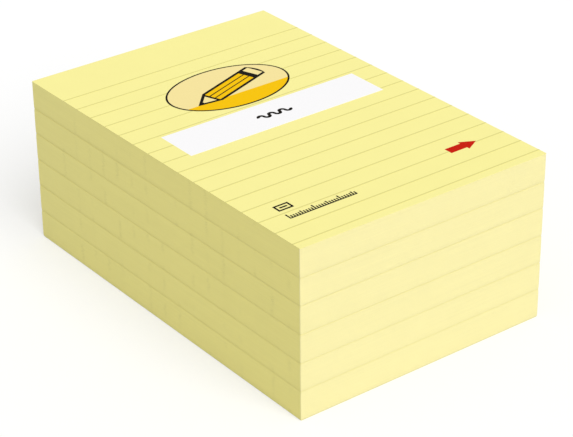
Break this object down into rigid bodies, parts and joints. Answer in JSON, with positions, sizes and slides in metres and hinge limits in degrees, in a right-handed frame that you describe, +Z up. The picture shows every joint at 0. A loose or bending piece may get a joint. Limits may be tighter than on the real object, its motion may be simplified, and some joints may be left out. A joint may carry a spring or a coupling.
{
  "type": "sticky note pad block",
  "caption": "Flush block of ruled self-stick paper note pads, each on its backing sheet, under a printed cover sheet with a title band and a badge.",
  "frame": {"origin": "the middle of the underside of the lowest backing sheet, where the block rests", "axes": "+Y from the loose end to the glued head, +X across the sheet to the right as the cover is read, +Z up out of the cover"},
  "size_m": [0.101, 0.152, 0.0616],
  "materials": {
    "note_paper": "matte",
    "backing_paper": "matte",
    "cover_paper": "matte",
    "ruling_ink": "matte",
    "white_ink": "matte",
    "cream_ink": "matte",
    "amber_ink": "matte",
    "dark_ink": "matte",
    "red_ink": "matte"
  },
  "bodies": {
    "root": {"backing_1": "backing_paper", "pad_1": "note_paper", "backing_2": "backing_paper", "pad_2": "note_paper", "backing_3": "backing_paper", "pad_3": "note_paper", "backing_4": "backing_paper", "pad_4": "note_paper", "backing_5": "backing_paper", "pad_5": "note_paper", "backing_6": "backing_paper", "pad_6": "note_paper", "cover_sheet": "cover_paper", "ruled_lines": "ruling_ink", "title_band": "white_ink", "title_stroke": "dark_ink", "badge_rim": "dark_ink", "badge_ground": "cream_ink", "badge_desk": "amber_ink", "pencil_outline": "dark_ink", "pencil_wood": "cream_ink", "pencil_barrel": "amber_ink", "pencil_rubber": "cream_ink", "scale_ticks": "dark_ink", "card_mark": "dark_ink", "arrow_mark": "red_ink"}
  },
  "joints": []
}
